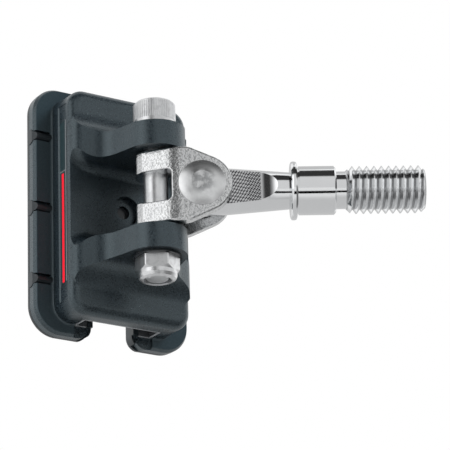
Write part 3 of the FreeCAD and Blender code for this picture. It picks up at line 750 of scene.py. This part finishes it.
def pale(graph):
    cloud = graph.noise(graph.place(), 0.3, 2)
    mirrored = graph.ray("Is Glossy Ray")
    reach = graph.vector("LENGTH", graph.place(), output=1)
    haze = graph.ray("Is Camera Ray") * (NEAR_HAZE + reach.over(1.0, 0.7) * FAR_HAZE)
    x, y, _ = graph.split(graph.place())
    shade = (y.math("ARCTAN2", x) * DEGREES).within(5, 70, 8) * reach.over(0.31, 0.02)
    bright = reach.over(0.35, 0.06) * y.under(0.05, 0.05)
    glow = (0.6 + bright * 0.25) * (1 - shade * 0.75)
    return {
        "Base Color": graph.blend(mirrored, graph.blend(cloud, (0.78,) * 3, (0.82,) * 3), (0, 0, 0)),
        "Roughness": 0.8 + cloud * 0.05,
        "Emission Color": graph.blend(mirrored, graph.grey(haze), graph.grey(glow)),
    }


floor = flat_card("floor", FLOOR_HALF, FLOOR_HALF, FLOOR)
dress(floor, finish_of("pale_floor", pale, Emission_Strength=1.0))
print("floor at, mm:", FLOOR / MM)

# %% [markdown]
# Polished steel is a picture of the room round it, so the room is designed as much as the finish.
# A panorama image would do it, but this room is plain: a ramp gives each direction round the
# horizon its glow. Two darker places are cut from it, one high up on the camera's side and one to
# its right that leaves only a low band lit, because the stud's dark bands ask for them.
# The camera itself sees plain white all round, and dull surfaces get only a little from the room,
# because the lamps light them.

# %% World
AROUND = [
    (-180, 1.1), (-140, 1.1), (-122, 0.75), (-104, 0.74), (-90, 1.4), (-70, 1.4), (-60, 0.35), (-54, 0.04),
    (-42, 0.04), (-35, 0.6), (-25, 0.75), (10, 0.75), (20, 0.8), (30, 0.85), (54, 0.85), (62, 0.8),
    (70, 0.65), (88, 1.2), (115, 1.1), (130, 0.62), (165, 0.62), (180, 1.1),
]
PEAK = 2.4
STUD_SIDE = math.radians(-30.5)
DULL_GLOW = 0.1


def room_glow(graph):
    """The glow of each direction, with the two darker places."""
    x, y, z = graph.split(graph.add("ShaderNodeTexCoord"))
    share = y.math("ARCTAN2", x) / math.tau + 0.5
    stops = [((angle + 180) / 360, (glow / PEAK,) * 3) for angle, glow in AROUND]
    wall = graph.add("ShaderNodeValToRGB", {"stops": stops}, {0: share})
    rise = z.math("ARCSINE") * DEGREES
    forward = x * math.cos(STUD_SIDE) + y * math.sin(STUD_SIDE)
    tilt = z.math("ARCTAN2", forward) * DEGREES
    above = tilt.within(50, 87, 4) * rise.over(44, 4)
    beside = (share * 360 - 180).within(14, 62, 8) * (1 - rise.within(4, 30, 5))
    return graph.split(wall)[0] * PEAK * ((1 - above * 0.95) * (1 - beside * 0.8))


def make_world():
    world = bpy.data.worlds.new("room")
    world.use_nodes = True
    bpy.context.scene.world = world
    graph = Graph(world.node_tree)
    seen = graph.ray("Is Camera Ray")
    dull = graph.ray("Is Diffuse Ray")
    shown = seen + (1 - seen) * (dull * DULL_GLOW + (1 - dull) * room_glow(graph))
    background = world.node_tree.nodes["Background"]
    background.inputs["Color"].default_value = (1, 1, 1, 1)
    world.node_tree.links.new(shown.socket, background.inputs["Strength"])
    print("room:", len(AROUND), "glows round the horizon")


make_world()

# %% [markdown]
# One thin dark line runs along the stud, where it mirrors something narrow just below the camera.
# Painting the line would leave it in place when the stud moves, so a black card stands there:
# only mirrors see it, and it neither blocks light nor shows in any view.

# %% Dark card
CARD_HALF = (0.16, 0.042)
CARD_TILT = math.radians(7.5)
CARD_DISTANCE = 0.4
CARD_AIM = Vector((0.034, 0.022, 0))

toward_card = Quaternion(camera_right, CARD_TILT) @ camera_back
card_place = CARD_AIM + toward_card * CARD_DISTANCE
card = flat_card("dark_card", *CARD_HALF, 0)
card.data.transform(Matrix.LocRotScale(card_place, axes.to_quaternion(), None))
black = {"Base Color": (0, 0, 0, 1)}
dress(card, finish_of("black_card", lambda graph: black, Roughness=1.0, Specular_IOR_Level=0.0))
card.visible_camera = False
card.visible_diffuse = False
card.visible_shadow = False
print("dark card at, mm:", [round(v / MM) for v in card_place])

# %% [markdown]
# Two soft rectangular lamps light the dull surfaces, one from the left and one from the upper right.
# Small lamps would give the fillets hard edges of light. They are hidden from mirrors, so that
# the steel shows only the room, and each is set by what a white card at the car would show.

# %% Lamps
CENTRE = Vector((0.02, 0.005, 0))


def softbox(name, turn, rise, distance, width, height, level):
    """A lamp that looks at the car. At level 1 a white card at the car, turned to it, shows white."""
    turn = math.radians(turn)
    rise = math.radians(rise)
    out = Vector((math.cos(rise) * math.cos(turn), math.cos(rise) * math.sin(turn), math.sin(rise)))
    data = bpy.data.lights.new(name, "AREA")
    data.shape = "RECTANGLE"
    data.size = width
    data.size_y = height
    data.energy = level * math.pi * math.pi * distance ** 2
    lamp = bpy.data.objects.new(name, data)
    lamp.matrix_world = Matrix.LocRotScale(CENTRE + out * distance, out.to_track_quat("Z", "Y"), None)
    lamp.visible_glossy = False
    into_scene(lamp)
    print(name, "power, W:", round(data.energy, 2))


softbox("left_lamp", -108, 20, 0.9, 0.5, 0.6, 1.1)
softbox("right_lamp", 40, 36, 0.9, 0.35, 0.35, 1.4)
